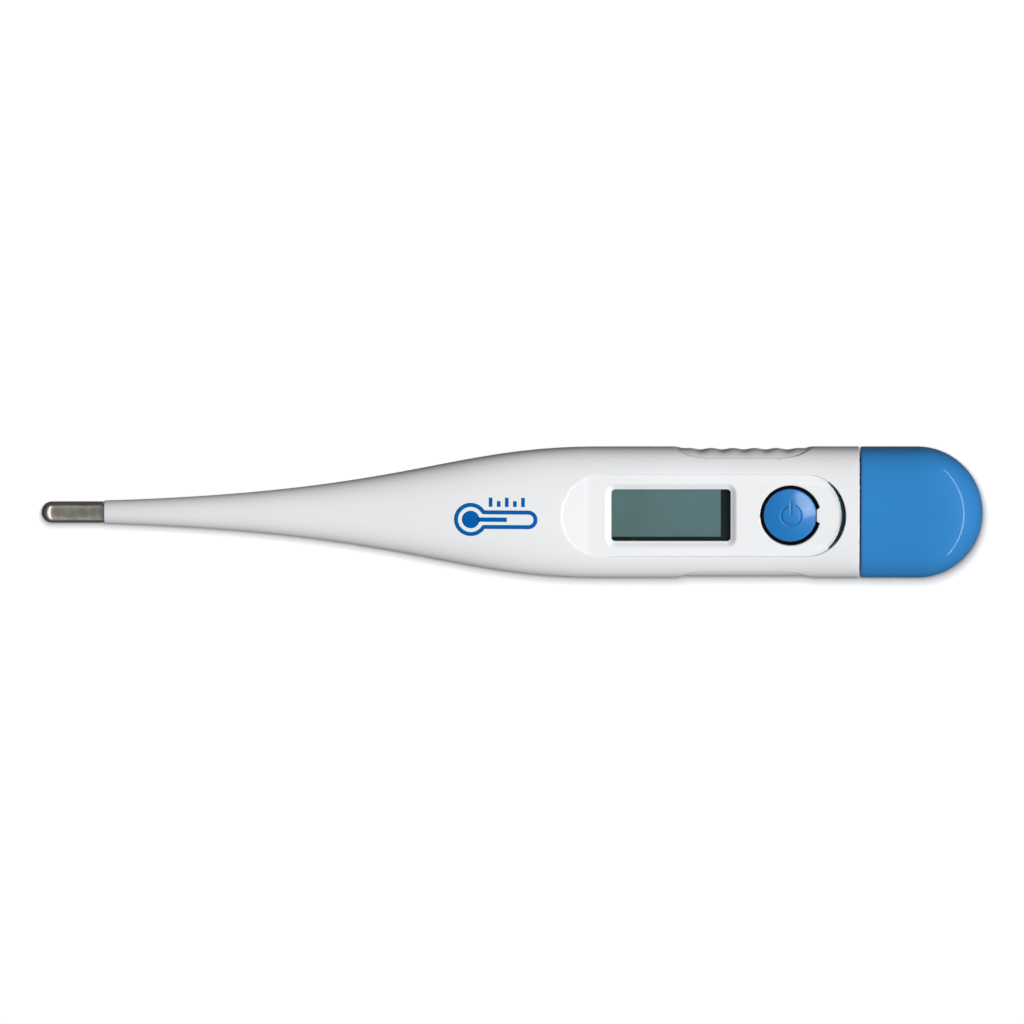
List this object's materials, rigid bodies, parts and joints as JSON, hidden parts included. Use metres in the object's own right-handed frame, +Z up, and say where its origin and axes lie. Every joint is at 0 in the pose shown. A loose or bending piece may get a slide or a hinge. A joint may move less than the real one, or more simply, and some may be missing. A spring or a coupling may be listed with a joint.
{
  "type": "digital thermometer",
  "caption": "White pen-shaped digital thermometer with a thin stem, metal tip, recessed display, round blue button and blue pull-off end cover.",
  "frame": {"origin": "centre of the bounding box, on the surface that the thermometer lies on", "axes": "+Z up through the display, -X along the stem to the metal tip, +X to the blue cover, +Y across the body"},
  "size_m": [0.128, 0.0178, 0.0104],
  "materials": {
    "white_plastic": "satin moulded",
    "clear_plastic": "clear, polished",
    "blue_plastic": "satin moulded",
    "button_blue": "satin moulded",
    "stainless_steel": "fine polished",
    "potting": "cured resin",
    "bead": "fired",
    "wire": "enamelled copper wire",
    "gasket_rubber": "matt",
    "grey_plastic": "moulded",
    "board_green": "solder resist over glass-fibre board",
    "black_resin": "cured drop",
    "chip_black": "glazed top",
    "capacitor_tan": "fired",
    "solder": "bright solder",
    "display_glass": "polished",
    "polariser": "grey-green film",
    "reflector_film": "satin film",
    "black_plastic": "moulded",
    "elastomer": "striped silicone",
    "silicone": "moulded silicone",
    "carbon": "conductive pill",
    "brass_sheet": "stamped sheet"
  },
  "bodies": {
    "housing": {"body_shell": "white_plastic", "display_window": "clear_plastic", "probe_tip": "stainless_steel", "thermistor_bead": "bead", "tip_adhesive": "potting", "sensor_lead_a": "wire", "sensor_lead_b": "wire", "cover_gasket": "gasket_rubber"},
    "electronics_module": {"chassis": "grey_plastic", "circuit_board": "board_green", "chip_cover": "black_resin", "chip_resistor_a": "chip_black", "chip_resistor_b": "chip_black", "chip_capacitor": "capacitor_tan", "lead_solder_joint_a": "solder", "lead_solder_joint_b": "solder", "lcd_front_glass": "display_glass", "lcd_polariser": "polariser", "lcd_rear_glass": "display_glass", "lcd_reflector": "reflector_film", "lcd_frame": "black_plastic", "elastomer_strip_left": "elastomer", "elastomer_strip_right": "elastomer", "switch_pad": "silicone", "switch_contact": "carbon", "battery_cell": "stainless_steel", "battery_contact_negative": "brass_sheet", "battery_contact_positive": "brass_sheet", "buzzer_disc": "brass_sheet", "buzzer_ceramic": "bead"},
    "power_button": {"power_button": "button_blue"},
    "battery_cover": {"battery_cover": "blue_plastic"}
  },
  "joints": [
    {"name": "drawer_slide", "type": "slide", "parent": "housing", "child": "electronics_module", "axis": [1, 0, 0], "range_m": [0, 0.0095], "deforming": ["sensor_lead_a", "sensor_lead_b"]},
    {"name": "cover_slide", "type": "slide", "parent": "electronics_module", "child": "battery_cover", "axis": [1, 0, 0], "range_m": [0, 0.025]},
    {"name": "button_press", "type": "slide", "parent": "housing", "child": "power_button", "axis": [0, 0, -1], "range_m": [0, 0.00045], "stiffness_N_per_m": 3000, "deforming": ["switch_pad"]}
  ]
}
